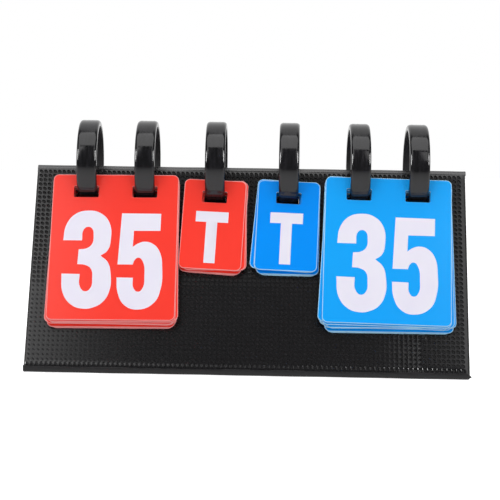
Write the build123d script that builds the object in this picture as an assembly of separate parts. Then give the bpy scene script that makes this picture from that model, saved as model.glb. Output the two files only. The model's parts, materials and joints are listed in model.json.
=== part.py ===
from build123d import *
import os
from math import atan2, cos, degrees, hypot, radians, sin, sqrt

# Tabletop flip scoreboard: an A-frame stand of vinyl skins welded round boards, six flat
# plastic rings threaded through slots under its ridge, and four stacks of score leaves.
# Millimetres. X runs along the ridge, Y from front to back, Z up from the table.
# The origin is on the table, under the middle of the ridge.

# ---- stand ----
stand_width = 200.0
stand_height = 92.0
front_depth = 40.0         # ridge line to the front of the base
skin_thickness = 0.45
board_thickness = 1.6
weld_recess = 0.2          # a welded band lies this much below the padded field
weld_width = 2.4           # welded band along a free edge
fold_land = 1.8            # welded band beside a fold
board_clearance = 0.1      # board edge to the pocket round it
fold_gap = 0.3             # a panel's edge to the end of the fold strip it bends on
field_bevel = 0.15

# ---- closure flap with hook-and-loop pads ----
pad_length = 42.0
pad_height = 12.0
pad_offset = 66.0          # middle of the stand to the middle of each pad
pad_corner = 2.0
hook_thickness = 1.1
loop_thickness = 1.0
pad_gap = 0.1
pad_edge = 1.2             # pad to the welded band below it

# ---- rings ----
ring_outer_radius = 20.0
ring_thickness = 2.8
ring_width = 9.2
ring_bevel = 0.7
ring_rise = 1.8            # ridge to the ring's centre
pair_pitch = 27.0          # between the two rings that carry the score leaves
row_shift = 0.9            # the punched row sits a little to the right of the middle
ring_turns = (1.4, 0.2, 0.2, -0.9, 1.2, 0.7)   # how far each loose ring is turned, degrees

# ---- ring snap ----
snap_angle = 35.0          # below the level of the ring's centre, at the back
snap_gap = 0.3
tongue_width = 4.6
tongue_thickness = 1.2
tongue_length = 3.0
tongue_clearance = 0.18

# ---- slots in the panels ----
slot_side_clearance = 0.6
slot_seat_clearance = 0.3  # ring to the slot's lower edge, which carries it
slot_play = 1.7            # free height left over the ring

# ---- leaves ----
leaf_thickness = 0.45
leaf_gap = 0.02            # between two leaves of a stack
leaf_seat = 0.15           # front skin to the first leaf
front_leaf_gap = 0.3       # stack to the leaf that flips
hang_clearance = 0.12      # ring to the strip that hangs on it
flip_clearance = 0.3       # the same for the leaf that flips
leaf_corner = 2.6
rear_corner = 4.2          # the last leaves of a stack are cut rounder
rear_count = 4
flush_lift = 1.3           # the leaf before them has slid this far up its rings, and
flush_count = 5            # so many leaves after it less and less, so their feet are flush
leaf_slot_height = 5.3
leaf_slot_side = 1.05      # ring to each side of a leaf's slot
leaf_strip = 5.8           # slot to the leaf's top edge
score_width = 58.0
score_height = 70.0
timeout_width = 28.6
timeout_height = 43.6
middle_gap = 5.6           # between the time-out leaves of the two sides
stack_gap = 2.5            # time-out leaves to the score leaves beside them

# How each stack hangs, set by hand: the lean of the leaf that flips, then of every leaf
# behind it from the panel outwards, and the sideways slips that those take in turn.
# Degrees and millimetres.
front_leans = {"home_score": 0.5, "home_timeout": -2.2,
               "guest_timeout": -1.8, "guest_score": -1.2}
leaf_leans = {
    "home_score": (0.6, 0.5, 0.7, 0.5, 0.5, -0.5, 0.1, 0.3, -0.6, 0.5, 1.3, 1.9, 0.7),
    "home_timeout": (-3.7, -3.1, -3.7, -2.7, -1.2, 0.8, -2.8, 0.2),
    "guest_timeout": (-0.6, -0.4, -0.8, -0.5, -4.8, -3.0, -4.4, -2.4),
    "guest_score": (0.1, -0.1, 0.2, 0.0, -1.3, 0.9, -1.9, -2.2, -0.3, -3.0, 0.6, -3.1, -0.8)}
leaf_slips = {"home_score": (0.1, -0.3, 0.3, -0.1),
              "home_timeout": (0.8, 0.5, 0.9, 0.3),
              "guest_timeout": (0.2, -0.2, -0.5, 0.1),
              "guest_score": (-0.35, 0.3, -0.4, 0.1)}

# ---- worked out from the sizes above ----
panel_thickness = 2 * skin_thickness + board_thickness
fold_outer = panel_thickness - weld_recess
fold_inner = fold_outer - 2 * skin_thickness
apex_z = stand_height - fold_outer
base_hinge_y = -(front_depth - panel_thickness)
lean = degrees(atan2(-base_hinge_y, apex_z - panel_thickness))
lean_sin = sin(radians(lean))
lean_cos = cos(radians(lean))
front_length = hypot(base_hinge_y, apex_z - panel_thickness)
back_length = front_length - fold_gap / lean_cos
pad_stack = hook_thickness + loop_thickness + pad_gap
closure_y = -base_hinge_y + (panel_thickness + pad_stack - fold_inner) / lean_cos
base_length = closure_y - base_hinge_y
closure_foot = closure_y * lean_sin + (apex_z - panel_thickness) * lean_cos
pad_middle = back_length - weld_width - pad_edge - pad_height / 2    # down the back leg
closure_length = closure_foot - pad_middle + pad_height / 2 + weld_width
ring_inner_radius = ring_outer_radius - ring_thickness
ring_z = stand_height + ring_rise
centre_rise = ring_z - apex_z
centre_down = -centre_rise * lean_cos      # ring centre, measured down a leg
centre_out = centre_rise * lean_sin        # and out from its inner face
single_offset = (timeout_width + middle_gap) / 2
pair_offset = single_offset + (timeout_width + score_width) / 2 + stack_gap
ring_places = [row_shift + x for x in (
    -pair_offset - pair_pitch / 2, -pair_offset + pair_pitch / 2, -single_offset,
    single_offset, pair_offset - pair_pitch / 2, pair_offset + pair_pitch / 2)]
slot_width = ring_width + 2 * slot_side_clearance
slot_low = centre_down + ring_outer_radius + slot_seat_clearance
slot_height = ring_thickness + slot_seat_clearance + slot_play
leaf_slot_width = ring_width + 2 * leaf_slot_side

# Each panel is drawn in its own plane: x along the stand, y up towards the fold that it
# hangs on, z outwards from its inner face, and the origin on the fold's axis.
front_plane = Plane(origin=(0, 0, apex_z), x_dir=(1, 0, 0), z_dir=(0, -lean_cos, lean_sin))
back_plane = Plane(origin=(0, 0, apex_z), x_dir=(-1, 0, 0), z_dir=(0, lean_cos, lean_sin))
base_plane = Plane(origin=(0, base_hinge_y, panel_thickness), x_dir=(1, 0, 0), z_dir=(0, 0, -1))
closure_plane = Plane(origin=(0, closure_y, panel_thickness), x_dir=(1, 0, 0),
                      z_dir=(0, lean_cos, lean_sin))


def slab(width, top, bottom, low, high):
    """A flat piece across the stand, from y = top down to y = bottom."""
    face = Rectangle(width, top - bottom)
    return Pos(0, (top + bottom) / 2, low) * extrude(face, high - low)


def punch(solid, side):
    """Cut the six ring slots through a panel's piece. On the back, x runs the other way."""
    tool = Box(slot_width, slot_height, 4 * panel_thickness)
    for x in ring_places:
        solid -= Pos(side * x, slot_height / 2 - slot_low, 0) * tool
    return solid


def outer_skin(start, length, end_band):
    """Skin of one panel: a welded band all round and a raised field over the board."""
    field_width = stand_width - 2 * weld_width
    top, bottom = -start - fold_land, -length + end_band
    band = slab(stand_width, -start, -length, fold_outer - skin_thickness, fold_outer)
    field = slab(field_width, top, bottom, fold_outer - skin_thickness, panel_thickness)
    rim = field.faces().sort_by(Axis.Z)[-1].edges()
    field = chamfer(rim, field_bevel)
    pocket = slab(field_width - 2 * skin_thickness, top - skin_thickness,
                  bottom + skin_thickness, 0, panel_thickness - skin_thickness)
    return band + field - pocket


def inner_skin(start, length, end_band):
    """Skin drawn round the board's back and edges, its flange welded to the outer skin."""
    field_width = stand_width - 2 * weld_width
    top, bottom = -start - fold_land, -length + end_band
    flange_top = fold_outer - skin_thickness
    flange = slab(stand_width, -start, -length, fold_inner, flange_top)
    tray = slab(field_width, top, bottom, 0, flange_top)
    rim = tray.faces().sort_by(Axis.Z)[0].edges()
    tray = chamfer(rim, field_bevel)
    pocket = slab(field_width - 2 * skin_thickness, top - skin_thickness,
                  bottom + skin_thickness, skin_thickness, panel_thickness)
    return flange + tray - pocket


def stiff_board(start, length, end_band):
    """Board that fills the pocket between the two skins."""
    edge = skin_thickness + board_clearance
    width = stand_width - 2 * (weld_width + edge)
    return slab(width, -start - fold_land - edge, -length + end_band + edge,
                skin_thickness, skin_thickness + board_thickness)


def panel(name, plane, start, length, end_band, slot_side):
    """The three layers of a panel, set in its plane."""
    layers = {"outer_skin": outer_skin, "board": stiff_board, "inner_skin": inner_skin}
    pieces = {}
    for layer, make in layers.items():
        solid = make(start, length, end_band)
        if slot_side:
            solid = punch(solid, slot_side)
        pieces[name + "_" + layer] = plane.location * solid
    return pieces


def fold_strip(y, z, start_angle, end_angle):
    """Welded strip that bends round a fold's axis, between two angles in the YZ plane."""
    outer = CenterArc((0, 0), fold_outer, start_angle, end_angle - start_angle)
    inner = CenterArc((0, 0), fold_inner, start_angle, end_angle - start_angle)
    ends = Line(outer @ 0, inner @ 0) + Line(outer @ 1, inner @ 1)
    face = Plane.YZ * make_face(outer + inner + ends)
    return Pos(0, y, z) * extrude(face, stand_width / 2, both=True)


def folds():
    """Living hinges: over the ridge, round the front foot and up behind the base."""
    return {"top_fold": fold_strip(0, apex_z, lean, 180 - lean),
            "bottom_fold": fold_strip(base_hinge_y, panel_thickness, 180 - lean, 270),
            "rear_fold": fold_strip(closure_y, panel_thickness, -90, lean)}


def pads(middle, low, high):
    """A pair of hook or loop pads on a panel, both in one node."""
    pad = extrude(RectangleRounded(pad_length, pad_height, pad_corner), high - low)
    return Compound([Pos(x, middle, low) * pad for x in (-pad_offset, pad_offset)])


def closure():
    """Flap of two welded skins that presses its loops on the hooks of the back leg."""
    flap = slab(stand_width, -fold_gap, -closure_length, fold_inner, fold_outer)
    hooks = pads(-pad_middle, panel_thickness, panel_thickness + hook_thickness)
    loops = pads(pad_middle - closure_foot, fold_inner - loop_thickness, fold_inner)
    return {"closure_flap": closure_plane.location * flap,
            "hook_pads": back_plane.location * hooks,
            "loop_pads": closure_plane.location * loops}


def ring(x, turn):
    """One-piece flat ring with bevelled rims, open at a tongue-and-pocket snap."""
    half, bevel = ring_width / 2, ring_bevel
    section = make_face(Polyline(
        (-half, ring_inner_radius), (-half, ring_outer_radius - bevel),
        (-half + bevel, ring_outer_radius), (half - bevel, ring_outer_radius),
        (half, ring_outer_radius - bevel), (half, ring_inner_radius), close=True))
    band = revolve(section, Axis.X, 360)
    middle = ring_outer_radius - ring_thickness / 2
    gap = Pos(0, middle, 0) * Box(2 * ring_width, 2 * ring_thickness, snap_gap)
    pocket_length = tongue_length + tongue_clearance
    pocket = Pos(0, middle, (snap_gap + pocket_length) / 2) * Box(
        tongue_width + 2 * tongue_clearance, tongue_thickness + 2 * tongue_clearance,
        pocket_length)
    root = tongue_thickness
    tongue = Pos(0, middle, (snap_gap + tongue_length - root) / 2) * Box(
        tongue_width, tongue_thickness, tongue_length + root)
    band = band - gap - pocket + tongue
    return Pos(x, 0, ring_z) * Rot(0, 0, turn) * Rot(-snap_angle, 0, 0) * band


def leaf_face(width, height, corner, slot_places):
    """Outline of a leaf with its slots. The origin is on the slots' upper edge."""
    card = Pos(0, leaf_strip - height / 2) * RectangleRounded(width, height, corner)
    slot = Rectangle(leaf_slot_width, leaf_slot_height)
    for x in slot_places:
        card -= Pos(x, -leaf_slot_height / 2) * slot
    return card


def hang(face, x, out, leaf_lean, clearance, reach):
    """Hang a leaf on its rings: its strip is inside the band, higher by the clearance.

    out is the leaf's height over the panel's inner face, and reach is how far the
    outermost ring edge is from the leaf's middle, where a leaning leaf touches first.
    """
    top = out + leaf_thickness - centre_out
    down = centre_down + sqrt(ring_inner_radius ** 2 - top ** 2) - clearance
    down -= reach * sin(radians(abs(leaf_lean)))
    leaf = Rot(0, 0, leaf_lean) * extrude(face, leaf_thickness)
    return front_plane.location * Pos(x, -down, out) * leaf


def rise(place):
    """How far a leaf of a stack has slid up its rings, by its place from the panel."""
    return flush_lift * max(0, 1 - (place - rear_count) / flush_count) if place >= rear_count else 0


def stack(name, rings, width, height):
    """A stack of leaves on one ring or two: the leaf that flips and those behind it."""
    middle = sum(rings) / len(rings)
    places = [x - middle for x in rings]
    face = leaf_face(width, height, leaf_corner, places)
    rear_face = leaf_face(width, height, rear_corner, places)
    reach = max(places) + ring_width / 2
    pitch = leaf_thickness + leaf_gap
    first = panel_thickness + leaf_seat
    slips = leaf_slips[name]
    leaves = []
    for i, leaf_lean in enumerate(leaf_leans[name]):
        outline = rear_face if i < rear_count else face
        x = middle + slips[i % len(slips)]
        clearance = hang_clearance + rise(i)
        leaves.append(hang(outline, x, first + i * pitch, leaf_lean, clearance, reach))
    out = first + len(leaves) * pitch - leaf_gap + front_leaf_gap
    front = hang(face, middle, out, front_leans[name], flip_clearance, reach)
    return {name + "_leaves": Compound(leaves), name + "_front_leaf": front}


def build():
    """Every node of the scoreboard by name."""
    nodes = {}
    nodes |= panel("front", front_plane, 0, front_length, fold_land, 1)
    nodes |= panel("back", back_plane, fold_gap, back_length, weld_width, -1)
    nodes |= panel("base", base_plane, fold_gap, base_length, fold_land, 0)
    nodes |= folds()
    nodes |= closure()
    for i, (x, turn) in enumerate(zip(ring_places, ring_turns), 1):
        nodes[f"ring_{i}"] = ring(x, turn)
    pairs = {"home_score": ring_places[:2], "guest_score": ring_places[4:]}
    for name, rings in pairs.items():
        nodes |= stack(name, rings, score_width, score_height)
    singles = {"home_timeout": ring_places[2:3], "guest_timeout": ring_places[3:4]}
    for name, rings in singles.items():
        nodes |= stack(name, rings, timeout_width, timeout_height)
    return nodes


os.makedirs("parts", exist_ok=True)
for node, shape in build().items():
    export_step(shape, f"parts/{node}.step")
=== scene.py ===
# %% [markdown]
# # A tabletop flip scoreboard
# A folding cover, made like a ring binder: two sheets of embossed black vinyl are welded
# round three boards, the welds bend as hinges, and six plastic rings carry stacks of printed
# leaves. Rebuilt by eye nothing would seat, so the CAD model is loaded as a fixed frame, and
# each cell adds a finish or a finer mesh.

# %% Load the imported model
import json
from math import atan2, cos, degrees, pi, radians, sin

import bmesh
import bpy
import numpy as np
from mathutils import Matrix, Vector


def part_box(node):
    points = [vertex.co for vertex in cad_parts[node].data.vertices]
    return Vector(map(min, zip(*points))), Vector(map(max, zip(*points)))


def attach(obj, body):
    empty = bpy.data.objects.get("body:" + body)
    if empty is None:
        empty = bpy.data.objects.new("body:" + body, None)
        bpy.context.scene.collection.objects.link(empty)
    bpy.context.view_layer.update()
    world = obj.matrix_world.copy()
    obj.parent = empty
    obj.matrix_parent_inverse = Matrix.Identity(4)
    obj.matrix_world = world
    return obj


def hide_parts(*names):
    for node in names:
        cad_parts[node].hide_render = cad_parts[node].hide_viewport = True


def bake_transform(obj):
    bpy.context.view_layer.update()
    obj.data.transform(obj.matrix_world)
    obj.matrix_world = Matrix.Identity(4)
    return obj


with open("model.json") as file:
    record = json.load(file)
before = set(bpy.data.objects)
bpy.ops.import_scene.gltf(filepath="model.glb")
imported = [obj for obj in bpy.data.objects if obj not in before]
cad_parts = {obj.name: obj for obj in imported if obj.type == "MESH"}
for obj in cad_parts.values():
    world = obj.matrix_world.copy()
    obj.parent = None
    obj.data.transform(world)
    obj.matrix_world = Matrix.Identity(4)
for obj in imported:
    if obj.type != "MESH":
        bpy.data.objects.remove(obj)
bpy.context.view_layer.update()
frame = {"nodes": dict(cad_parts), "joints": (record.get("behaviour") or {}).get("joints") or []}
nodes = frame["nodes"]

# %% [markdown]
# ## Where the folds are
# Every panel hangs on a fold, and the CAD model has a joint at each. The lean of the legs
# could be typed again, but read from the joints it stays right when a size changes. Each
# panel gets its own axes, with y up to its fold, so that one function can make all three.

# %% Measure the folds and give each panel its axes
MM = 0.001


def mm(*values):
    """Sizes in millimetres as a tuple in metres."""
    return tuple(value * MM for value in values)


joint_at = {joint["name"]: Vector(joint["pos_m"]) for joint in frame["joints"]}
apex, heel, rear = (joint_at[name] for name in ("back_fold", "base_fold", "closure_fold"))
lean = atan2(-heel.y, apex.z - heel.z)
stand_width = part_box("front_outer_skin")[1].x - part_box("front_outer_skin")[0].x
panel_thickness = heel.z  # the base lies on the table, its fold on its inner face
skin, weld_recess, fold_gap = mm(0.45, 0.2, 0.3)
weld_width, fold_land = mm(2.4, 1.8)
fold_outer = panel_thickness - weld_recess
fold_inner = fold_outer - 2 * skin


def panel_axes(fold, up, outward):
    """Matrix from a panel's own axes to the scene."""
    axes = Matrix((up.cross(outward), up, outward)).transposed().to_4x4()
    return Matrix.Translation(fold) @ axes


front_axes = panel_axes(apex, Vector((0, sin(lean), cos(lean))), Vector((0, -cos(lean), sin(lean))))
back_axes = panel_axes(apex, Vector((0, -sin(lean), cos(lean))), Vector((0, cos(lean), sin(lean))))
base_axes = panel_axes(heel, Vector((0, -1, 0)), Vector((0, 0, -1)))
flap_axes = panel_axes(rear, Vector((0, sin(lean), -cos(lean))), Vector((0, cos(lean), sin(lean))))
leg_length = (heel - apex).length
base_length = (rear - heel).length
print("lean", round(degrees(lean), 2), "degrees, leg", round(leg_length / MM, 1), "mm")

# %% [markdown]
# ## Helpers for nodes
# A finish is a small graph of shader nodes. Each node and wire would take lines of its own,
# so one helper adds a node with its settings, and another starts a material.

# %% Nodes and plain materials
def srgb(red, green, blue):
    """A colour as a screen shows it, 0 to 255, as linear light."""
    return tuple(((v / 255 + 0.055) / 1.055) ** 2.4 if v > 10 else v / 255 / 12.92
                 for v in (red, green, blue))


def add_node(tree, kind, inputs=(), **settings):
    """A shader node with its settings, and its inputs set or wired."""
    node = tree.nodes.new("ShaderNode" + kind)
    for name, value in settings.items():
        setattr(node, name, value)
    for name, value in dict(inputs).items():
        if isinstance(value, bpy.types.NodeSocket):
            tree.links.new(value, node.inputs[name])
        else:
            node.inputs[name].default_value = value
    return node


def new_material(name, colour, roughness, more=()):
    """A material with plain values on its shader."""
    material = bpy.data.materials.new(name)
    material.use_nodes = True
    shader = material.node_tree.nodes["Principled BSDF"]
    shader.inputs["Base Color"].default_value = (*srgb(*colour), 1)
    shader.inputs["Roughness"].default_value = roughness
    for label, value in dict(more).items():
        shader.inputs[label].default_value = value
    return material, material.node_tree, shader


print("grey 128 is", round(srgb(128, 128, 128)[0], 3), "as linear light")

# %% [markdown]
# ## Helpers that vary a finish
# Nothing real has one even colour or gloss. An image could paint the change, but a factor
# from another node does it up close too. Most often that is noise, fixed to the object.

# %% Change of colour, gloss and relief
def ramp(tree, value, start, end, low=0.0, high=1.0):
    """Let a value that runs from start to end run from low to high."""
    inputs = {"Value": value, "From Min": start, "From Max": end, "To Min": low, "To Max": high}
    return add_node(tree, "MapRange", inputs).outputs[0]


def calculate(tree, operation, *values):
    """Result of a Math node."""
    return add_node(tree, "Math", dict(enumerate(values)), operation=operation).outputs[0]


def two_colours(tree, factor, first, second):
    """Mix two colours by a factor from another node."""
    inputs = {"Factor": factor, 6: (*srgb(*first), 1), 7: (*srgb(*second), 1)}
    return add_node(tree, "Mix", inputs, data_type="RGBA").outputs[2]


def colour_between(tree, shader, factor, first, second):
    """Run the shader's colour between two."""
    tree.links.new(two_colours(tree, factor, first, second), shader.inputs["Base Color"])


def rough_between(tree, shader, factor, low, high):
    """Run the shader's roughness between two values."""
    tree.links.new(ramp(tree, factor, 0.0, 1.0, low, high), shader.inputs["Roughness"])


def add_bump(tree, shader, height, distance, strength=1.0):
    """Fine relief from a height, distance deep in metres."""
    bump = add_node(tree, "Bump", {"Height": height, "Distance": distance, "Strength": strength})
    tree.links.new(bump.outputs[0], shader.inputs["Normal"])


def on_object(tree):
    """Place of a point in the object's own axes."""
    return add_node(tree, "TexCoord").outputs["Object"]


def noise(tree, scale, detail=3.0):
    """Noise fixed to the object, scale in grains per metre."""
    inputs = {"Vector": on_object(tree), "Scale": scale, "Detail": detail}
    return add_node(tree, "TexNoise", inputs).outputs["Fac"]


fine_grain = 4200.0  # grains of vinyl or plastic in a metre
print("one grain is", round(1 / fine_grain / MM, 2), "mm")

# %% [markdown]
# ## Black vinyl
# The cover is soft PVC sheet. Its raised net is rubbed to a low gloss, the pits stay matt
# and the welds are smooth. The walls of deep pits are also a little darker than the net:
# painted shade in the hollows. One finish for all would make the pits sparkle, so a function
# makes each from its shades and gloss. The grain is too fine for a mesh, so it is relief.

# %% Vinyl finishes
def vinyl_material(name, dark, light, roughness, gloss):
    """Black vinyl between two shades and two roughnesses."""
    material, tree, shader = new_material(name, dark, roughness[0], {"Specular IOR Level": gloss})
    colour_between(tree, shader, noise(tree, 60.0), dark, light)
    rough_between(tree, shader, noise(tree, 900.0), *roughness)
    add_bump(tree, shader, noise(tree, fine_grain, 4.0), 0.01 * MM, 0.5)
    return material


vinyl = vinyl_material("cover_vinyl", (16, 15, 17), (23, 22, 24), (0.13, 0.2), 0.5)
# painted highlight: the weld vinyl is lighter grey than the cover, for the light the folds catch;
# its higher gloss is real
lit_weld_vinyl = vinyl_material("lit_weld_vinyl", (24, 23, 25), (33, 32, 34), (0.22, 0.32), 1.0)
# painted shade: walls of deep pits are darker than the net, for the shade in the hollows; the matt
# finish is real
pit_shade_vinyl = vinyl_material("pit_shade_vinyl", (12, 12, 13), (18, 18, 19), (0.6, 0.8), 0.08)
bent_vinyl = vinyl_material("bent_vinyl", (19, 18, 20), (26, 25, 27), (0.4, 0.5), 0.32)
worn_pit = vinyl_material("worn_pit", (13, 12, 14), (19, 18, 20), (0.25, 0.35), 0.26)
print("vinyl:", vinyl.name, lit_weld_vinyl.name, pit_shade_vinyl.name)

# %% [markdown]
# ## Floors of the pits
# Hands that fold the stand hold it low down and polish the floors of the pits there. That
# could be painted, but the height above the table says enough: the floors go from glossy to
# matt between two heights.

# %% Finish of the pit floors
glossy_below, matt_above = mm(30, 55)
pit_floor, tree, shader = new_material("pit_floor", (15, 15, 16), 0.3,
                                       {"Specular IOR Level": 0.35})
rise = add_node(tree, "SeparateXYZ", {"Vector": on_object(tree)}).outputs["Z"]
rough_between(tree, shader, ramp(tree, rise, glossy_below, matt_above), 0.2, 0.75)
add_bump(tree, shader, noise(tree, fine_grain, 4.0), 0.01 * MM, 0.5)
print(pit_floor.name, "is glossy up to", round(glossy_below / MM), "mm above the table")

# %% [markdown]
# ## Plastic rings
# The rings are moulded from glossy black plastic, so they show mostly reflections. The
# colour is nearly black and the roughness low, and a stretched noise gives the long faint
# flow marks round the band. The inside is duller, and a lighter grey: a painted reflection
# of the light that it faces.

# %% Ring finish
ring_plastic, tree, shader = new_material("ring_plastic", (18, 18, 20), 0.12)
grains = (1200, 140, 140)  # in a metre: many across the band, few round it
stretched = add_node(tree, "Mapping", {"Vector": on_object(tree), "Scale": grains})
flow = add_node(tree, "TexNoise", {"Vector": stretched.outputs[0], "Scale": 1.0, "Detail": 3.0})
streaks = ramp(tree, flow.outputs["Fac"], 0.35, 0.75)
colour_between(tree, shader, streaks, (14, 14, 16), (30, 29, 33))
rough_between(tree, shader, streaks, 0.07, 0.22)
add_bump(tree, shader, flow.outputs["Fac"], 0.004 * MM, 0.4)
# painted reflection: the inside of a ring is a lighter grey for the light it faces; its higher
# roughness is real
lit_ring_inside, tree, shader = new_material("lit_ring_inside", (40, 39, 42), 0.5)
colour_between(tree, shader, noise(tree, 500.0), (38, 37, 40), (50, 49, 52))
print("ring finishes:", ring_plastic.name, lit_ring_inside.name)

# %% [markdown]
# ## Leaf plastic
# The leaves are thin coloured PVC, and each has a pale line where a knife has cut it. The
# pale colour is partly the cut plastic and partly a painted highlight, for light that the cut
# edges catch. On fifty leaves that is too much to paint as images. All flat faces look the
# same way out of the leg, so the angle between the surface and that direction tells a cut
# edge from a face.

# %% Leaf finishes
face_on, edge_on = 0.997, 0.989  # how squarely a face and a cut edge look outwards


def leaf_material(name, face, shade, edge):
    """Coloured sheet with a slow change of shade, and pale cut edges that are partly painted
    highlight.
    """
    material, tree, shader = new_material(name, face, 0.15, {"Specular IOR Level": 0.25})
    outward = front_axes.to_3x3().col[2]
    normal = add_node(tree, "TexCoord").outputs["Normal"]
    facing = add_node(tree, "VectorMath", {0: normal, 1: outward}, operation="DOT_PRODUCT")
    flat = calculate(tree, "ABSOLUTE", facing.outputs["Value"])
    body = two_colours(tree, noise(tree, 14.0, 1.0), face, shade)
    inputs = {"Factor": ramp(tree, flat, face_on, edge_on), 6: body, 7: (*srgb(*edge), 1)}
    colour = add_node(tree, "Mix", inputs, data_type="RGBA").outputs[2]
    tree.links.new(colour, shader.inputs["Base Color"])
    rough_between(tree, shader, noise(tree, 700.0), 0.1, 0.2)
    add_bump(tree, shader, noise(tree, 5200.0, 2.0), 0.008 * MM, 0.4)
    return material


def leaf_and_rim(name, face, shade, edge):
    """A leaf's finish, and one without the pale edge for the rims of its slots."""
    return (leaf_material(name + "_leaf", face, shade, edge),
            leaf_material(name + "_slot_rim", face, shade, shade))


# pale edge colours: partly the cut plastic, partly painted highlight for light the cut edges catch
blue_edge = (180, 228, 255)
red_leaf, red_slot = leaf_and_rim("red", (255, 68, 54), (254, 58, 47), (255, 168, 166))
blue_leaf, blue_slot = leaf_and_rim("blue", (24, 171, 255), (18, 164, 253), blue_edge)
small_blue_leaf, small_blue_slot = leaf_and_rim(
    "small_blue", (0, 149, 253), (0, 142, 250), blue_edge)
print("leaf finishes:", red_leaf.name, blue_leaf.name, small_blue_leaf.name)

# %% [markdown]
# ## Ink and shaded slots
# The figures are printed in thick white ink, a little uneven, and the walls of the slots are
# painted dark, as painted shade for the shadow inside them. Both are small, so a speckled
# colour is all they need.

# %% Ink and slot finishes
# painted shade: the slot walls are dark for the shadow inside the slots
slot_shade, tree, shader = new_material("slot_shade", (40, 22, 26), 0.6)
colour_between(tree, shader, noise(tree, 1200.0), (34, 20, 26), (58, 30, 34))
white_ink, tree, shader = new_material("white_ink", (236, 235, 248), 0.5)
colour_between(tree, shader, noise(tree, 90.0), (229, 225, 243), (237, 234, 245))
add_bump(tree, shader, noise(tree, 3000.0), 0.01 * MM, 0.3)
print("small finishes:", slot_shade.name, white_ink.name)

# %% [markdown]
# ## Board and hook-and-loop tape
# Grey board shows only on the walls of the slots, so it is painted darker than it is, as
# the shade there. The tape is fuzzy black nylon. Their fibres are too fine to model, so both
# get noise and relief.

# %% Board and tape finishes
# painted shade: the board is darker than real grey board, for the shade in the slot walls
board, tree, shader = new_material("shaded_grey_board", (84, 80, 74), 0.9)
colour_between(tree, shader, noise(tree, 1800.0, 5.0), (64, 61, 57), (104, 100, 94))
add_bump(tree, shader, noise(tree, 2600.0, 5.0), 0.05 * MM)
tape, tree, shader = new_material("nylon_tape", (30, 30, 31), 0.85, {"Sheen Weight": 0.4})
colour_between(tree, shader, noise(tree, 2400.0, 4.0), (18, 18, 19), (46, 46, 48))
add_bump(tree, shader, noise(tree, 3200.0, 4.0), 0.12 * MM)

special = {"board": board, "ring": ring_plastic, "pads": tape}
for name, node in nodes.items():
    finish = next((special[word] for word in special if word in name), vinyl)
    for place in node.material_slots:
        place.material = finish
print("a finish for", len(nodes), "CAD nodes")

# %% [markdown]
# ## From points to a piece
# Adding faces in edit mode is slow, so a mesh is made from lists of points and faces. It
# shows nothing until an object carries it, placed with its panel's axes. Then it is shaded
# smooth except at real edges. Booleans also need the faces of a closed mesh to look outwards.

# %% Place and shade a piece
def new_mesh(name, points, faces, materials=()):
    """A mesh from its points and faces, with its materials."""
    mesh = bpy.data.meshes.new(name)
    mesh.from_pydata(points, [], faces)
    for material in materials:
        mesh.materials.append(material)
    return mesh


def add_object(name, data):
    """Put a mesh, a lamp or a camera in the scene."""
    item = bpy.data.objects.new(name, data)
    bpy.context.scene.collection.objects.link(item)
    return item


def add_piece(name, mesh, axes=None):
    """Put a mesh in the scene, moved to its panel's axes."""
    if axes:
        mesh.transform(axes)
    return add_object(name, mesh)


def shade(piece, material, slot, angle=35):
    """Smooth shading with sharp edges, and a finish if it has none."""
    mesh = piece.data
    if not mesh.materials:
        mesh.materials.append(material)
    mesh.polygons.foreach_set("use_smooth", [True] * len(mesh.polygons))
    mesh.set_sharp_from_angle(angle=radians(angle))


def face_outwards(mesh):
    """Turn every face of a closed mesh outwards."""
    work = bmesh.new()
    work.from_mesh(mesh)
    bmesh.ops.recalc_face_normals(work, faces=work.faces)
    work.to_mesh(mesh)
    work.free()


# %% [markdown]
# ## The embossed cover
# The outside of the sheet has a square pattern of slanting oval pits, two millimetres apart.
# Relief in the material would do from afar, but close up the pits have walls that catch the
# light, so they are real.

# %% The shape of one pit
pit_pitch, pit_depth = mm(2.15, 0.35)
pit_rim = mm(1.05, 0.72)  # half length and half width of the oval's rim
pit_bottom = mm(0.74, 0.42)
pit_slant = radians(-42)


def oval(x, y, z, size):
    """Eight points of a slanted oval."""
    turn = np.arange(8) * pi / 4 + pi / 4 - pit_slant
    u, v = size[0] * np.cos(turn), size[1] * np.sin(turn)
    return [(x + a * cos(pit_slant) - b * sin(pit_slant),
             y + a * sin(pit_slant) + b * cos(pit_slant), z) for a, b in zip(u, v)]


print("one pit every", round(pit_pitch / MM, 2), "mm")

# %% [markdown]
# ## A field of pits
# A pit is a small cell: its square border, the rim of the oval and its floor. An array
# modifier would copy one cell, but then no pit could be rubbed flat, nor the level change.
# So a function lays out all points and faces as lists, which is quick.

# %% Lay out the pits
knot_rise = 0.22 * MM  # the weld bar squeezes the lowest net into knots
around = ((1, 1), (0, 1), (-1, 1), (-1, 0), (-1, -1), (0, -1), (1, -1), (1, 0))
cell_faces, wall_faces, floor_face = 17, slice(8, 16), 16  # the first eight are border


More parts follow.
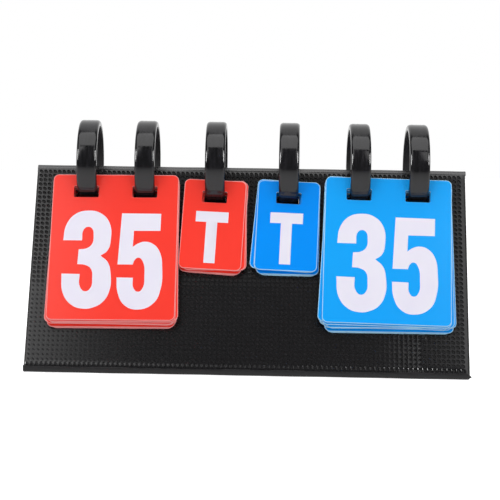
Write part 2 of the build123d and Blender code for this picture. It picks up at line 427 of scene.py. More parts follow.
def pit_grid(left, right, low, high, height, depth):
    """Points and faces of a field of pits, the loop of points round it, and each depth.

    height and depth give the level of the sheet and the depth of a pit at a place.
    """
    columns, rows = round((right - left) / pit_pitch), round((high - low) / pit_pitch)
    xs, ys = np.linspace(left, right, 2 * columns + 1), np.linspace(low, high, 2 * rows + 1)
    lattice = -np.ones((2 * columns + 1, 2 * rows + 1), int)
    points, faces, depths = [], [], []
    for i, j in np.ndindex(lattice.shape):
        if not (i % 2 and j % 2):
            lattice[i, j] = len(points)
            knot = knot_rise if j == 1 else 0
            points.append((xs[i], ys[j], height(xs[i], ys[j]) + knot))
    for i in range(1, 2 * columns, 2):
        for j in range(1, 2 * rows, 2):
            level = height(xs[i], ys[j])
            depths.append(depth(xs[i], ys[j]))
            border = [int(lattice[i + a, j + b]) for a, b in around]
            rim = list(range(len(points), len(points) + 8))
            floor = [k + 8 for k in rim]
            points += oval(xs[i], ys[j], level, pit_rim)
            points += oval(xs[i], ys[j], level - depths[-1], pit_bottom)
            for outer, inner in ((border, rim), (rim, floor)):
                faces += [(outer[k - 1], outer[k], inner[k], inner[k - 1]) for k in range(8)]
            faces.append(tuple(floor))
    loop = [*lattice[:, 0], *lattice[-1, 1:], *lattice[-2::-1, -1], *lattice[0, -2:0:-1]]
    return points, faces, [int(k) for k in loop], depths


print("a cell has", cell_faces, "faces")

# %% [markdown]
# ## Matt pits and rubbed pits
# A deep pit keeps matt walls, painted darker as shade, and one rubbed almost flat is as
# smooth as the net round it.
# One limit for all would draw a hard line, so each pit has its own, from random numbers that
# are the same in every run.

# %% Choose the finish of each pit
pit_finishes = (vinyl, pit_shade_vinyl, pit_floor, worn_pit)
smooth, matt, deep_floor, rubbed = range(len(pit_finishes))
matt_from, matt_spread, flat_below = 0.12, 0.4, 0.05  # shares of the full depth


def finish_pits(mesh, depths):
    """Give the net, the walls and the floors of a sheet their finishes."""
    finish = np.zeros(len(mesh.polygons), int)
    cells = finish[:cell_faces * len(depths)].reshape(-1, cell_faces)
    share_left = np.array(depths) / pit_depth
    chance = np.random.default_rng(3).random(len(depths))
    pressed = share_left > matt_from + matt_spread * chance
    walls = np.where(pressed, matt, np.where(share_left > flat_below, rubbed, smooth))
    cells[:, wall_faces] = walls[:, None]
    cells[:, floor_face] = np.where(pressed, deep_floor, rubbed)
    mesh.polygons.foreach_set("material_index", finish)


print("a sheet has", len(pit_finishes), "finishes")

# %% [markdown]
# ## The sheet round the pits
# A sheet is closed on all sides, so that it has a cut edge and slots can be punched. The
# weld, the rounded edge and the cut side could each be built apart, but they are all the
# same loop of points at other places and levels. So one small function adds a loop.

# %% Close the sheet round the pits
edge_round = 0.1  # share of the margin that the rounded edge takes
edge_drop = 0.1 * MM
tiny = 1e-9  # a point this near a line lies on it


def smooth_step(value):
    """From 0 to 1 with soft ends."""
    value = min(max(value, 0.0), 1.0)
    return value * value * (3 - 2 * value)


def full_depth(x, y):
    """Depth of a pit where the sheet was pressed fully."""
    return pit_depth


def sheet_mesh(name, box, margins, height, underside, depth=full_depth):
    """Closed sheet with pits on its upper side.

    box and margins, from the edge to the pits, are given as left, right, low, high.
    underside lists shares and levels: share 1 is the edge, 0 the pits, below 0 inside them.
    """
    inner = [side + (margin, -margin)[k % 2] for k, (side, margin) in enumerate(zip(box, margins))]
    points, faces, first, depths = pit_grid(*inner, height, depth)
    start = [tuple(map(float, points[k][:2])) for k in first]
    loops = [first]

    def add_loop(share, level):
        """Draw the first loop again, further out and at another level."""
        new = []
        for x, y in start:
            x += share * (margins[1] * (x > inner[1] - tiny) - margins[0] * (x < inner[0] + tiny))
            y += share * (margins[3] * (y > inner[3] - tiny) - margins[2] * (y < inner[2] + tiny))
            new.append((x, y, level(x, y)))
        loops.append(list(range(len(points), len(points) + len(new))))
        points.extend(new)
        last, this = loops[-2:]
        faces.extend((this[k - 1], this[k], last[k], last[k - 1]) for k in range(len(new)))

    for share, drop in ((0.5, 0.0), (1 - edge_round, 0.0), (1, edge_drop)):
        add_loop(share, lambda x, y, drop=drop: height(x, y) - drop)
    for share, level in underside:
        add_loop(share, lambda x, y, level=level: level)
    faces.append(tuple(reversed(loops[-1])))
    mesh = new_mesh(name, points, faces, pit_finishes)
    finish_pits(mesh, depths)
    return mesh


print("rounded edge", round(edge_drop / MM, 2), "mm deep")

# %% [markdown]
# ## Punching the slots
# The slots are die-cut, with small round corners. Leaving holes in the pattern would need a
# special case for every pit on an edge. A boolean cuts whatever is there, as the punch does.

# %% Punch with a boolean
def rounded_outline(width, height, radius, steps=4):
    """Outline of a rectangle with round corners, counter-clockwise."""
    outline = []
    for corner in range(4):
        cx = (width / 2 - radius) * (1, -1, -1, 1)[corner]
        cy = (height / 2 - radius) * (1, 1, -1, -1)[corner]
        for step in range(steps + 1):
            turn = (corner + step / steps) * pi / 2
            outline.append((cx + radius * cos(turn), cy + radius * sin(turn)))
    return outline


def join_loops(count, pairs, start=0):
    """Faces between pairs of loops of points, from a row of such loops."""
    return [(start + i * count + k, start + i * count + (k + 1) % count,
             start + j * count + (k + 1) % count, start + j * count + k)
            for i, j in pairs for k in range(count)]


def prism(outlines, low, high):
    """Closed prisms from outlines in a panel's axes, as one mesh."""
    points, faces = [], []
    for outline in outlines:
        count, base = len(outline), len(points)
        points += [(x, y, low) for x, y in outline] + [(x, y, high) for x, y in outline]
        faces += join_loops(count, [(0, 1)], base)
        faces += [tuple(range(base + count - 1, base - 1, -1)),
                  tuple(range(base + count, base + 2 * count))]
    return new_mesh("punch", points, faces)


def cut(piece, tool_mesh, axes=None, operation="DIFFERENCE"):
    """Take the tool away from the piece, or join it on."""
    tool = add_piece("punch", tool_mesh, axes)
    change = piece.modifiers.new("cut", "BOOLEAN")
    change.operation, change.solver, change.object = operation, "MANIFOLD", tool
    result = piece.evaluated_get(bpy.context.evaluated_depsgraph_get())
    mesh = bpy.data.meshes.new_from_object(result)
    piece.modifiers.clear()
    piece.data = mesh
    bpy.data.objects.remove(tool)


print("a punch has", len(rounded_outline(1, 1, 0.1)), "points")

# %% [markdown]
# ## Where the slots are
# A ring passes through each leg, and the leg hangs on it at the lower edge of its slot. The
# rings are turned a little, each its own way, so a slot is placed by the ring's own points
# and not worked out from the row.

# %% Outline of each slot
ring_count = 6
ring_radius, ring_band, ring_width = mm(20, 2.8, 9.2)
seat, play = mm(0.3, 1.7)  # room in a slot under the ring, and over it
centre_up = (joint_at["ring_1_turn"].z - apex.z) * cos(lean)  # in a leg's own axes
slot_low = centre_up - ring_radius - seat
slot_height = ring_band + seat + play
slot_corner = 0.6 * MM
front_gap, back_gap = mm(0.1, 0.25)  # beside a ring; the back leg moves past it
near_count = 24  # points of a ring that are taken as at the panel


def slot_outlines(axes, gap):
    """For each ring, the outline of its hole in a leg's sheet."""
    outlines = []
    for number in range(1, ring_count + 1):
        points = [axes.inverted() @ v.co for v in nodes[f"ring_{number}"].data.vertices]
        middle = slot_low + slot_height / 2
        points.sort(key=lambda p: abs(p.y - middle) + abs(p.z - panel_thickness))
        near = [p.x for p in points[:near_count]]
        centre, width = (min(near) + max(near)) / 2, max(near) - min(near)
        outlines.append([(centre + x, middle + y) for x, y in rounded_outline(
            width + 2 * gap, slot_height, slot_corner)])
    return outlines


print("slots", round(slot_height / MM, 2), "mm high")

# %% [markdown]
# ## One cover sheet
# The sheet is welded flat round the board and stands a little proud over it. A bevel there
# would cut through pits, so the level is a function of place, and the pits follow it.

# %% Make one cover sheet
step_width = 0.8 * MM  # of the slope from a weld up to the padded field
hollow_from, hollow_to = 0.4, 0.7  # under the pits, as shares of the margin


def cover_sheet(part, axes, body, top, bottom, bands, margins, depth=full_depth, gap=None):
    """Sheet of one panel. bands are the widths of the flat welds round it."""
    box = (-stand_width / 2, stand_width / 2, bottom, top)

    def height(x, y):
        """Level of the sheet, with a soft step at the weld."""
        inward = (x - box[0], box[1] - x, y - bottom, top - y)
        steps = [smooth_step(0.5 + (way - band) / step_width) for way, band in zip(inward, bands)]
        return fold_outer + weld_recess * min(steps)

    flange = fold_outer - skin
    underside = ((1, flange), (-hollow_from, flange),
                 (-hollow_to, panel_thickness - skin + 0.01 * MM))
    mesh = sheet_mesh(part + "_cover", box, margins, height, underside, depth)
    piece = add_piece(part + "_cover", mesh, axes)
    if gap:
        cut(piece, prism(slot_outlines(axes, gap), 0, 2 * panel_thickness), axes)
    shade(piece, vinyl, "vinyl", 30)
    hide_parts(part + "_outer_skin")
    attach(piece, body)
    return piece


print("the field stands", round(weld_recess / MM, 2), "mm above the welds")

# %% [markdown]
# ## The three cover sheets
# Front, back and base are the same sheet with other borders. On the front one the pits low
# down are worn away, but not towards the right end. So only that sheet gets a depth that
# changes from place to place.

# %% Make the three cover sheets
worn_from, worn_span = 0.24, 0.4  # shares of the leg's length, down from the ridge
kept_from, kept_span = mm(105, 50)  # how far right of the middle, going left
worn_away = 0.99
hem = 0.4 * MM  # the front sheet laps over the bottom fold


def worn_depth(x, y):
    """Depth of a pit of the front sheet."""
    low_down = smooth_step((-y / leg_length - worn_from) / worn_span)
    return pit_depth * (1 - worn_away * low_down * smooth_step((kept_from - x) / kept_span))


front_cover = cover_sheet("front", front_axes, "front_leg", 0, -leg_length - hem,
                          mm(0.6, 1.3, 1.1, 0.4), mm(0.8, 1.9, 0.2, 0.2), worn_depth, front_gap)
cover_sheet("back", back_axes, "back_leg", -fold_gap, fold_gap / cos(lean) - leg_length,
            (weld_width, weld_width, weld_width, fold_land), mm(1.9, 0.8, 1.7, 0.7), gap=back_gap)
cover_sheet("base", base_axes, "base", -hem - 0.1 * MM, -base_length,
            (weld_width, weld_width, fold_land, fold_land), mm(0.8, 1.9, 0.7, 0.7))
print("front cover:", len(front_cover.data.vertices), "points")

# %% [markdown]
# ## The folds
# Between the boards the skins are welded together and bend as a living hinge. Each strip
# is built round its fold with the stand open, and stays where it is built.

# %% Shape of a strip and its ends
fold_rows = 16
wave_height, waves = 0.03 * MM, (90, 230)  # the welded strip isn't quite even
press_level = 0.8  # where in its thickness an end is pressed flat
middle_columns = [(x, 1.0) for x in np.linspace(-98.8, 99.2, 240)]
plain_end = [(100, 1.0)]
swollen_end = [(99.6, 1.04), (100.0, 1.08), (100.35, 1.0), (100.4, 0.7)]
pinched_end = [(99.6, 0.96), (99.9, 0.8), (100.1, 0.4), (100.8, 0.14), (100.9, 0.05)]


def fold_strip(part, centre, first, last, finish, bulge, left_end, right_end):
    """Strip round a fold from one angle to another, in degrees from the back, level.

    An end is a list of columns: how many millimetres out, and how high the section is there.
    """
    rng = np.random.default_rng(len(part))
    phase = rng.uniform(0, 2 * pi, 3)
    points = []
    turns = np.radians(np.linspace(first, last, fold_rows + 1))
    share = np.linspace(0, 1, fold_rows + 1)
    half_way = turns[fold_rows // 2]
    press_y = centre.y + press_level * fold_outer * cos(half_way)
    press_z = centre.z + press_level * fold_outer * sin(half_way)
    columns = [(-x, height) for x, height in reversed(left_end)] + middle_columns + right_end
    for x, height in [(x * MM, height) for x, height in columns]:
        wave = wave_height * (sin(x * waves[0] + phase[0]) + sin(x * waves[1] + phase[1]))
        outer = fold_outer - wave_height + wave + bulge * np.sin(share * pi)
        outer[0] = outer[-1] = fold_outer
        ring = list(zip(outer, turns)) + [(fold_inner, turn) for turn in turns[::-1]]
        points += [(x, press_y + height * (centre.y + r * cos(turn) - press_y),
                    press_z + height * (centre.z + r * sin(turn) - press_z)) for r, turn in ring]
    count = 2 * (fold_rows + 1)
    faces = join_loops(count, [(i, i + 1) for i in range(len(columns) - 1)])
    faces += [tuple(range(count - 1, -1, -1)), tuple(range(len(points) - count, len(points)))]
    mesh = new_mesh(part + "_bend", points, faces)
    face_outwards(mesh)
    piece = add_piece(part + "_bend", mesh)
    shade(piece, finish, "vinyl", 50)
    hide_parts(part)
    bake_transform(piece)
    return piece


print(len(middle_columns), "columns between the ends")

# %% [markdown]
# ## The three folds
# The top fold is thick and shiny, the one at the foot is duller with a pinched right end,
# and the rear one is plain. If a strip ended where its panels begin, a gap might show, so
# each goes on a little way under them.

# %% Make the folds
tilt, lap = degrees(lean), 7
# the top and rear folds take the weld vinyl with its painted highlight
fold_strip("top_fold", apex, 180 - tilt, tilt - lap,
           lit_weld_vinyl, 0.4 * MM, plain_end, swollen_end)
fold_strip("bottom_fold", heel, 180 - tilt, 270 + lap,
           bent_vinyl, 0.2 * MM, swollen_end, pinched_end)
fold_strip("rear_fold", rear, -90, tilt + lap,
           lit_weld_vinyl, 0.1 * MM, plain_end, plain_end)
print("strips lap", lap, "degrees")

# %% [markdown]
# ## The closure flap
# The loose end of the sheet turns up behind the back leg, where pads of hook and loop tape
# hold it. It has the same pits outside and is plain within, so it is made like the covers.

# %% Make the flap
flap_low, flap_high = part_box("closure_flap")
flap_length = (flap_high.z - flap_low.z - (fold_outer - fold_inner) * sin(lean)) / cos(lean)
mesh = sheet_mesh("closure_cover",
                  (-stand_width / 2, stand_width / 2, -fold_gap - flap_length, -fold_gap),
                  mm(0.8, 1.9, 1.2, 0.9), lambda x, y: fold_outer,
                  ((1, fold_inner + 0.1 * MM), (0.92, fold_inner)))
closure_cover = add_piece("closure_cover", mesh, flap_axes)
shade(closure_cover, vinyl, "vinyl", 50)
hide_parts("closure_flap")
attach(closure_cover, "closure")
print("flap", round(flap_length / MM, 1), "mm")

# %% [markdown]
# ## The rings
# A ring is a flat moulded band with round rims. The solid model has them cut straight, which
# draws hard lines, and a bevel would leave uneven faces. So the section is drawn anew.

# %% Section of the band
rim_round, inner_round = mm(1.6, 1.2), mm(0.35, 0.35)  # along the axis, and out
corner_steps = 6


def band_section():
    """Outline of the band: along the ring's axis, and out from it."""
    half, low, high = ring_width / 2, ring_radius - ring_band, ring_radius
    section = []
    for x, out, size, start in ((half, high, rim_round, 0), (-half, high, rim_round, 90),
                                (-half, low, inner_round, 180), (half, low, inner_round, 270)):
        cx = x - size[0] * (1 if x > 0 else -1)
        cy = out - size[1] * (1 if out == high else -1)
        for step in range(corner_steps + 1):
            turn = radians(start + 90 / corner_steps * step)
            section.append((cx + size[0] * cos(turn), cy + size[1] * sin(turn)))
    return section


print("section of", len(band_section()), "points")

# %% [markdown]
# ## From the section to the band
# A spin modifier could turn the section round the ring's axis. Points worked out here are as
# easy, and then it is known which faces are the flat inside of the ring, duller and painted
# lighter.

# %% Turn the section into a band
def band_mesh(steps=120):
    """The closed band, round the x axis."""
    section = band_section()
    count = len(section)
    points = [(x, out * cos(turn), out * sin(turn))
              for turn in np.arange(steps) * 2 * pi / steps for x, out in section]
    faces = join_loops(count, [(i, (i + 1) % steps) for i in range(steps)])
    mesh = new_mesh("band", points, faces, (ring_plastic, lit_ring_inside))
    inner_flat = 3 * (corner_steps + 1) - 1  # after three of the four corners
    for i in range(steps):
        mesh.polygons[i * count + inner_flat].material_index = 1
    face_outwards(mesh)
    return mesh


print("flat inside", round((ring_width - 2 * inner_round[0]) / MM, 2), "mm wide")

# %% [markdown]
# ## The snap
# A ring opens at a snap: a tongue on one end sits in a pocket in the other. Boxes cut them,
# while the ring lies at the origin, where boxes are simple: one opens the ring, one hollows
# the pocket and one is joined on as the tongue. Then the ring is moved to its joint.

# %% Cut the snaps and place the rings
snap_angle, snap_gap = radians(35), 0.3 * MM
tongue_width, tongue_thickness, tongue_length, tongue_clearance = mm(4.6, 1.2, 3.0, 0.18)
joint_axis = {joint["name"]: joint["axis"] for joint in frame["joints"]}


def box_in_band(width, thickness, low, high):
    """A box in the band at the snap, from one place along it to another."""
    middle = ring_radius - ring_band / 2
    outline = [(width * a, middle + thickness * b)
               for a, b in ((0.5, -0.5), (0.5, 0.5), (-0.5, 0.5), (-0.5, -0.5))]
    return prism([outline], low, high)


for number in range(1, ring_count + 1):
    ring = add_piece(f"ring_{number}_band", band_mesh())
    cut(ring, box_in_band(2 * ring_width, 2 * ring_band, -snap_gap / 2, snap_gap / 2))
    cut(ring, box_in_band(tongue_width + 2 * tongue_clearance,
                          tongue_thickness + 2 * tongue_clearance, 0,
                          snap_gap / 2 + tongue_length + tongue_clearance))
    cut(ring, box_in_band(tongue_width, tongue_thickness, snap_gap / 2 - tongue_thickness,
                          snap_gap / 2 + tongue_length), operation="UNION")
    axis = joint_axis[f"ring_{number}_turn"]
    turned = Matrix.Rotation(atan2(axis[1], axis[0]), 4, "Z")
    ring.data.transform(Matrix.Translation(joint_at[f"ring_{number}_turn"]) @ turned
                        @ Matrix.Rotation(-snap_angle, 4, "X"))
    shade(ring, ring_plastic, "ring_plastic")
    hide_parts(f"ring_{number}")
    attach(ring, f"ring_{number}")
print("rings:", len(ring.data.polygons), "faces each")

# %% [markdown]
# ## Leaves
# Four stacks of die-cut leaves hang on the rings, a large and a small one for each side.
# They differ only in finish, size and the number of rings, so what is special about each is
# kept in a small table.

# %% The four stacks
ring_pitch = 27 * MM  # between the two rings of a large stack
stacks = {"home_score": ("red_leaf", red_leaf, red_slot, ring_pitch),
          "home_timeout": ("red_leaf", red_leaf, red_slot, 0),
          "guest_timeout": ("blue_leaf", small_blue_leaf, small_blue_slot, 0),
          "guest_score": ("blue_leaf", blue_leaf, blue_slot, ring_pitch)}
print("stacks:", *stacks)

# %% [markdown]
# ## Where the leaves hang
# No two leaves hang alike, and the CAD model has the leans. A leaf's corners are round, so
# its box doesn't say how far it is turned, but its longest straight edge does.

# %% Read where the leaves hang
same_point, same_level = 1e-7, 1e-6


def leaf_places(node):
    """For each leaf of a node: axes in its middle, with z outwards, and its size."""
    work = bmesh.new()
    work.from_mesh(nodes[node].data)
    work.transform(front_axes.inverted())
    bmesh.ops.remove_doubles(work, verts=work.verts, dist=same_point)
    left, places = set(work.verts), []
    while left:
        group, queue = set(), [left.pop()]
        while queue:
            vert = queue.pop()
            group.add(vert)
            near = {edge.other_vert(vert) for edge in vert.link_edges} & left
            left -= near
            queue += near
        longest = max((e for v in group for e in v.link_edges
                       if abs(e.verts[0].co.z - e.verts[1].co.z) < same_level
                       and len({round(f.normal.z, 3) for f in e.link_faces}) > 1),
                      key=lambda e: e.calc_length())
        along = longest.verts[0].co - longest.verts[1].co
        turn = -atan2(along.x, along.y) if along.y > 0 else -atan2(-along.x, -along.y)
        aligned = np.array([Matrix.Rotation(-turn, 3, "Z") @ v.co for v in group])
        low, high = Vector(aligned.min(0)), Vector(aligned.max(0))
        middle = Matrix.Rotation(turn, 3, "Z") @ ((low + high) / 2)
        axes = front_axes @ Matrix.Translation(middle) @ Matrix.Rotation(turn, 4, "Z")
        places.append((axes, high - low))
    work.free()
    return sorted(places, key=lambda place: place[0].translation.y)


first_leaves = {stack: leaf_places(stack + "_front_leaf")[0] for stack in stacks}
for stack, (axes, size) in first_leaves.items():
    print(stack, [round(v / MM, 1) for v in size])

# %% [markdown]
# ## Flat shapes from curves
# The leaves and the print are flat outlines with some thickness. Filling one by hand means
# splitting it round its holes. A 2D curve fills itself, and it can round its own edges.

# %% Fill and thicken an outline
curve_steps = 6


def flat_mesh(name, outlines, thickness, bevel=0.0, squeeze=1.0):
    """Filled and thickened flat shape. Each outline is a list of points: x, y and kind.

    A bevel is as deep as it is wide, so a flat one is made too deep and squeezed.
    """
    curve = bpy.data.curves.new(name, "CURVE")
    curve.dimensions, curve.fill_mode, curve.resolution_u = "2D", "BOTH", curve_steps
    curve.extrude = thickness / 2 / squeeze - bevel
    curve.bevel_depth, curve.offset = bevel, -bevel
    curve.bevel_resolution = 1
    for outline in outlines:
        spline = curve.splines.new("BEZIER")
        spline.bezier_points.add(len(outline) - 1)
        for point, (x, y, kind) in zip(spline.bezier_points, outline):
            point.co = (x, y, 0)
            point.handle_left_type = point.handle_right_type = kind
        spline.use_cyclic_u = True
    holder = bpy.data.objects.new(name, curve)
    mesh = bpy.data.meshes.new_from_object(holder)
    mesh.transform(Matrix.Diagonal((1, 1, squeeze, 1)))
    bpy.data.objects.remove(holder)
    return mesh


print("smooth outlines have", curve_steps, "sides between two points")

# %% [markdown]
# ## One leaf
# The last leaves of a stack are cut rounder than the others. The walls of a slot get a
# painted shade, and its rim isn't pale. Painting that would take an image for each leaf, so
# the faces are picked by where they lie and how steep they are.

# %% Make one leaf
leaf_corner, rear_corner = mm(2.6, 4.2)
rear_count, corner_points = 4, 12
edge_width, edge_depth = mm(0.3, 0.1)  # the rounded cut edge of a leaf
leaf_strip = 5.8 * MM  # slot to the leaf's top edge
leaf_slot, slot_round = (ring_width + 2.1 * MM, 5.3 * MM), 0.6 * MM
pale_rim = 0.2 * MM  # the lower end of a slot keeps its pale rim
wall_slope, flat_slope = 0.9, 0.999  # how squarely a wall and a rounded rim look outwards


def card_mesh(size, pitch, corner):
    """One leaf in its own axes, with one slot or two."""
    border = rounded_outline(size.x, size.y, corner, corner_points)
    slot_middle = size.y / 2 - leaf_strip - leaf_slot[1] / 2
    slots = [[(place + x, slot_middle + y) for x, y in rounded_outline(*leaf_slot, slot_round)]
             for place in {-pitch / 2, pitch / 2}]
    outlines = [[(x, y, "VECTOR") for x, y in outline] for outline in (border, *slots)]
    mesh = flat_mesh("card", outlines, size.z, edge_width, edge_depth / edge_width)
    for face in mesh.polygons:
        x, y = face.center.x, face.center.y - slot_middle
        near = abs(abs(x) - pitch / 2) < leaf_slot[0] / 2 + edge_width
        slope = abs(face.normal.z)
        # steep faces in a slot take the painted shade, a rounded rim there the leaf colour
        if near and abs(y) < leaf_slot[1] / 2 + edge_width and slope < wall_slope:
            face.material_index = 1
        elif near and abs(y + pale_rim) < leaf_slot[1] / 2 and slope < flat_slope:
            face.material_index = 2
    return mesh


print("slot of a leaf:", [round(v / MM, 2) for v in leaf_slot], "mm")

# %% [markdown]
# ## The stacks of leaves
# A card goes wherever the CAD model has a leaf. Each stack is one piece that stays on the
# front leg, and its first leaf is another that rides on its own body and flips.

# %% Lay down the leaves
def lay_cards(node, body, stack):
    """Put a card wherever the node has a leaf, as one piece."""
    slot_name, material, slot_rim, pitch = stacks[stack]
    work = bmesh.new()
    places = leaf_places(node)
    for rank, (axes, size) in enumerate(places):
        rear = len(places) > rear_count and rank >= len(places) - rear_count
        card = card_mesh(size, pitch, rear_corner if rear else leaf_corner)
        card.transform(axes)
        work.from_mesh(card)
    mesh = bpy.data.meshes.new(node)
    work.to_mesh(mesh)
    work.free()
    for finish in (material, slot_shade, slot_rim):
        mesh.materials.append(finish)
    piece = add_piece(node.replace("leaf", "card").replace("leaves", "cards"), mesh)
    shade(piece, material, slot_name, 8)
    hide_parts(node)
    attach(piece, body)
    return piece


for stack in stacks:
    lay_cards(stack + "_front_leaf", stack + "_front", stack)
    pile = lay_cards(stack + "_leaves", "front_leg", stack)
    print(pile.name, len(pile.data.polygons), "faces")

# %% [markdown]
# ## The printed figures
# The score is printed with heavy white figures. A font would bring its own shapes, so each
# figure is a closed curve, in millimetres from the middle of its leaf. A point of it is a
# corner or smooth.

# %% Outlines of the figures
C, S = "VECTOR", "AUTO"
three = ((-23, 2.7, C), (-22, 10, S), (-18, 15.5, S), (-12.3, 17.2, S), (-6.6, 16.1, S),
         (-2.3, 11.6, S), (-1.2, 3.5, S), (-2.6, -2.2, S), (-5.6, -4.55, C), (-2.1, -7.8, S),
         (-0.6, -13.5, S), (-0.8, -21, S), (-3.6, -26.5, S), (-8, -29.2, S),
         (-12.3, -29.8, S), (-17.5, -28.2, S), (-21.8, -22.8, S), (-23, -13.3, C),
         (-14.7, -13.4, C), (-14.2, -19.6, S), (-11.8, -21.6, S), (-9.5, -20, S),
         (-8.9, -15.5, S), (-9.8, -10.8, S), (-12.4, -9.1, S), (-16, -8.7, C),
         (-15.7, -1.6, C), (-12.2, -1.1, S), (-9.8, 0.9, S), (-9.2, 5, S), (-10, 8.4, S),
         (-11.8, 9.3, S), (-13.7, 8.2, S), (-14.4, 2.7, C))
five = ((3.4, 16, C), (21.4, 15.9, C), (21.3, 7.6, C), (9.2, 7.5, C), (8.9, -0.3, C),
        (10.9, 1.2, S), (14.3, 2.3, S), (18.2, 1.2, S), (21.4, -2.8, S), (22.7, -11, S),
        (22.3, -20, S), (19.4, -26.8, S), (12.2, -30, S), (6.2, -28, S), (2.9, -22.2, S),
        (2.1, -14.9, C), (9.5, -15, C), (10.1, -20.2, S), (12, -21.6, S), (13.8, -20.4, S),
        (14.7, -14, S), (13.5, -6.8, S), (11.8, -5.4, S), (10.2, -6.3, S), (9.2, -8.7, C),
        (2.3, -8.7, C))
time_out_mark = ((-8, 6.15, C), (-8, 1, C), (-3.05, 1, C), (-3.05, -18.8, C),
                 (2.05, -18.8, C), (2.05, 1, C), (7, 1, C), (7, 6.15, C))
print("points:", len(three), len(five), len(time_out_mark))

# %% [markdown]
# ## Printing
# The ink is a thin layer. An image would need its own wrapping on each leaf, so the outlines
# are filled as thin meshes that ride with the leaf. The back has the same figures, since a
# turned leaf shows the score to the other side.

# %% Print the figures
ink_depth = 0.04 * MM


def print_leaf(stack, outlines):
    """Print on both faces of a stack's first leaf."""
    axes, size = first_leaves[stack]
    scaled = [[(x * MM, y * MM, kind) for x, y, kind in outline] for outline in outlines]
    for face, turn in (("front", 0), ("back", pi)):
        place = axes @ Matrix.Rotation(turn, 4, "Y") @ Matrix.Translation((0, 0, size.z / 2))
        piece = add_piece(f"{stack}_{face}_print", flat_mesh("ink", scaled, ink_depth), place)
        shade(piece, white_ink, stacks[stack][0])
        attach(piece, stack + "_front")


for stack in stacks:
    print_leaf(stack, (three, five) if "score" in stack else (time_out_mark,))
print("figures on", 2 * len(stacks), "faces")

# %% [markdown]
# ## Camera
# A long lens from about seventy centimetres keeps the ridge and the foot almost parallel. It
# looks slightly down and is level to within a degree.

# %% Set up the camera
camera_at = Vector((14.73, -704.81, 109.67)) * MM
yaw, pitch, roll = radians(-1.188), radians(4.531), radians(0.851)
camera_data = bpy.data.cameras.new("camera")
camera_data.lens, camera_data.sensor_width = 108, 36
camera = add_object("camera", camera_data)
level = Matrix.Rotation(-yaw, 4, "Z") @ Matrix.Rotation(pi / 2, 4, "X")
turned = level @ Matrix.Rotation(-pitch, 4, "X") @ Matrix.Rotation(roll, 4, "Z")
camera.matrix_world = Matrix.Translation(camera_at) @ turned
bpy.context.scene.camera = camera
print("camera", round((camera_at - apex).length, 3), "m from the ridge")

# %% [markdown]
# ## Table
# Black plastic shows its surroundings more than its own colour, so the stand is on a white
# table that fades into a dark room in front. More light would wash out the colours, so the
# white that the camera sees is a glow of the table.

# %% Floor
backdrop_glow, mirrored_glow = 0.85, 0.35  # seen by the camera, and by glossy faces
floor_material, tree, shader = new_material("white_floor", (245, 245, 245), 0.9)
rays = add_node(tree, "LightPath").outputs
forward = add_node(tree, "SeparateXYZ", {"Vector": on_object(tree)}).outputs["Y"]
fade = ramp(tree, forward, -0.12, -0.6)  # metres, from under the front edge forwards
dimmed = calculate(tree, "MULTIPLY", rays["Is Glossy Ray"], fade)
colour_between(tree, shader, dimmed, (245, 245, 245), (60, 60, 60))
lit = calculate(tree, "SUBTRACT", rays["Is Glossy Ray"], dimmed)
mirrored = calculate(tree, "MULTIPLY", lit, mirrored_glow)
glow = calculate(tree, "MULTIPLY_ADD", rays["Is Camera Ray"], backdrop_glow, mirrored)
shader.inputs["Emission Color"].default_value = (1, 1, 1, 1)
tree.links.new(glow, shader.inputs["Emission Strength"])
near, far = 0.6, 3.0  # in front the table fades into the dark of the room
floor_corners = [(-far, -near, 0), (far, -near, 0), (far, far, 0), (-far, far, 0)]
floor_mesh = new_mesh("floor", floor_corners, [(0, 1, 2, 3)], [floor_material])
floor = add_piece("floor", floor_mesh, Matrix.Translation((0, 0, -0.05 * MM)))
print("floor", 2 * far, "m wide")

# %% [markdown]
# ## Light from all round
# Matt faces need a low even light, and glossy ones a room to mirror, dark in front and white
# behind. One background can't be both, so the kind of ray that asks chooses the answer.

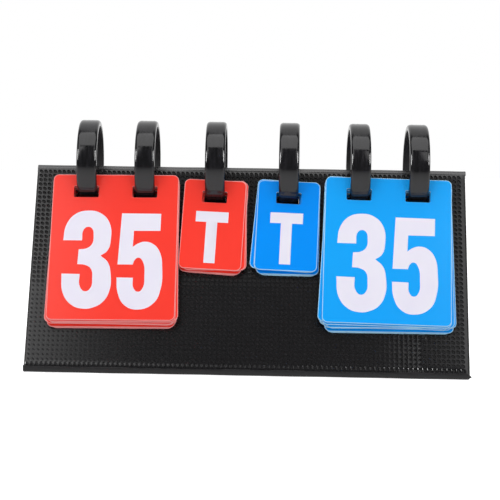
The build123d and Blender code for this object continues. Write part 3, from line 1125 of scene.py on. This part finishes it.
# %% World
ambient, below = 0.36, 0.9  # from above and from below
dark_in_front, white_behind = 0.13, 1.0  # as glossy faces mirror them
sweep_from, sweep_to, less_at_sides, horizon = -0.2, 0.1, -0.8, 0.1
world = bpy.data.worlds.new("world")
bpy.context.scene.world = world
world.use_nodes = True
tree = world.node_tree
rays = add_node(tree, "LightPath").outputs
direction = add_node(tree, "TexCoord").outputs["Generated"]
parts = add_node(tree, "SeparateXYZ", {"Vector": direction}).outputs
sideways = calculate(tree, "ABSOLUTE", parts["X"])
behind = calculate(tree, "MULTIPLY_ADD", sideways, less_at_sides, parts["Y"])
sweep = ramp(tree, behind, sweep_from, sweep_to, dark_in_front, white_behind)
around_all = ramp(tree, parts["Z"], -horizon, horizon, below, ambient)
mirrored = calculate(tree, "MAXIMUM", rays["Is Glossy Ray"], rays["Is Transmission Ray"])
inputs = {"Factor": mirrored, "A": around_all, "B": sweep}
glossy = add_node(tree, "Mix", inputs).outputs[0]
inputs = {"Factor": rays["Is Camera Ray"], "A": glossy, "B": 1.0}
seen = add_node(tree, "Mix", inputs).outputs[0]
tree.links.new(seen, tree.nodes["Background"].inputs["Strength"])
tree.nodes["Background"].inputs["Color"].default_value = (1, 1, 1, 1)
print("light from above:", ambient)

# %% [markdown]
# ## Lamps
# A soft box is a lit cloth in a frame, and in a glossy surface its brightness and place
# matter. So a helper places each lamp by its direction and works out its power from the look
# of its face. The two bright strips at the sides draw lines on the rims of the rings.

# %% Lamps
watts_for_white = 4  # a square metre of lamp that looks plain white


def soft_box(name, target, distance, turn, rise, size, radiance):
    """A lamp that looks at a point, from how bright its face looks.

    turn is its direction in degrees, from in front to the right, and rise its height.
    """
    level = distance * cos(radians(rise))
    away = (level * sin(radians(turn)), -level * cos(radians(turn)), distance * sin(radians(rise)))
    place = Vector(target) + Vector(away)
    lamp_data = bpy.data.lights.new(name, "AREA")
    lamp_data.shape = "RECTANGLE"
    lamp_data.size, lamp_data.size_y = size
    lamp_data.energy = radiance * watts_for_white * size[0] * size[1]
    lamp = add_object(name, lamp_data)
    aim = (Vector(target) - place).to_track_quat("-Z", "Y").to_matrix().to_4x4()
    lamp.matrix_world = Matrix.Translation(place) @ aim
    return lamp


soft_box("overhead", (0, -0.5, 0), 1.2, 0, 90, (2.0, 0.98), 1.5)
soft_box("left_front", (-0.1, 0, 0.05), 1.22, -24.2, 35, (0.5, 0.5), 1.65)
soft_box("right_front", (0.1, 0, 0.05), 1.22, 18.5, 33, (0.35, 0.5), 1.25)
for name, turn in (("left_strip", -62), ("right_strip", 64)):
    soft_box(name, (0, 0, 0.1), 1.2, turn, 16, (0.3, 0.42), 22.0).visible_diffuse = False
bpy.context.scene.view_settings.view_transform = "Standard"
print("lamps:", len(bpy.data.lights))
